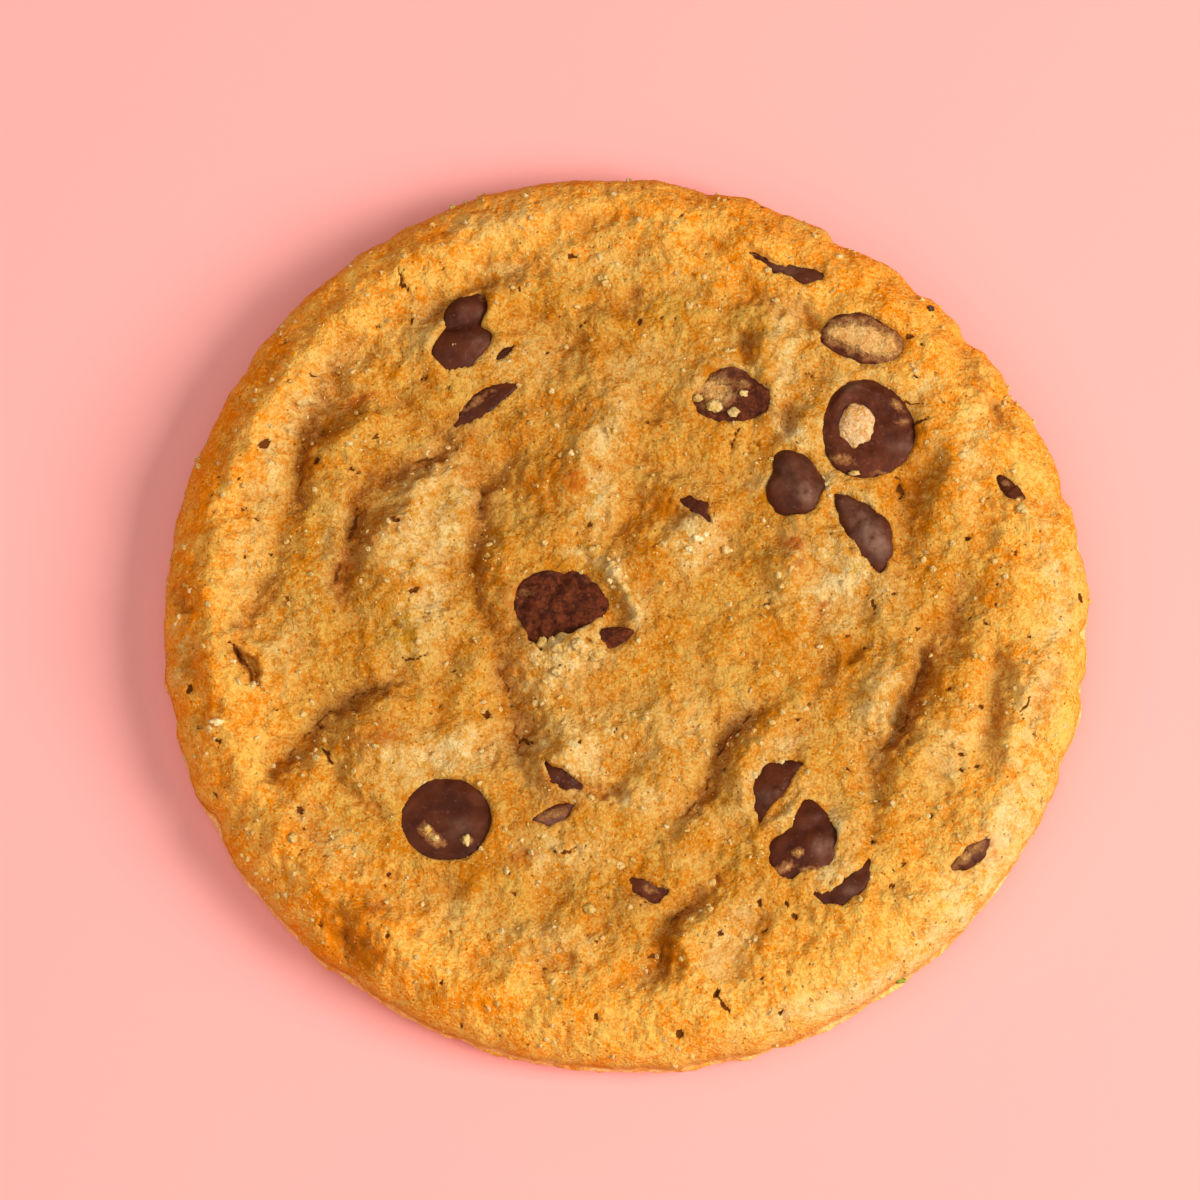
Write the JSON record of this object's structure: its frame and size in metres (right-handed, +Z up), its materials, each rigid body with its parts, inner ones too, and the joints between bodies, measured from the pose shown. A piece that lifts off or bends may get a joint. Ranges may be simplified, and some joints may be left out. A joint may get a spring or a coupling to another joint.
{
  "type": "chocolate chip cookie",
  "caption": "Round baked cookie with a folded, crinkled top, a smooth low side, a flat browned underside and dark chocolate chips set into the dough.",
  "frame": {"origin": "middle of the underside, on the surface that the cookie rests on", "axes": "+Z up through the top of the cookie, +X to the right and +Y to the back as seen from the side that faces the viewer"},
  "size_m": [0.088, 0.0864, 0.0099],
  "materials": {
    "dough": "matte baked dough, sandy and golden brown",
    "chocolate": "dark chocolate, satin",
    "crumb": "pale matte crumb"
  },
  "bodies": {
    "root": {"dough": "dough", "chip_knobbed": "chocolate", "chip_ring": "chocolate", "chip_disc": "chocolate", "chip_cone": "chocolate", "chip_split": "chocolate", "chip_centre": "chocolate", "chip_veiled": "chocolate", "chip_crumbly": "chocolate", "chip_drop": "chocolate", "chip_half": "chocolate", "chip_crescent": "chocolate", "chip_wedge_back": "chocolate", "chip_shard_back": "chocolate", "chip_sliver_back": "chocolate", "chip_fleck_middle": "chocolate", "chip_fleck_right": "chocolate", "chip_nub": "chocolate", "chip_wedge_front": "chocolate", "chip_shard_front": "chocolate", "chip_pit_front": "chocolate", "chip_veiled_right": "chocolate", "crumb_on_ring": "crumb"}
  },
  "joints": []
}
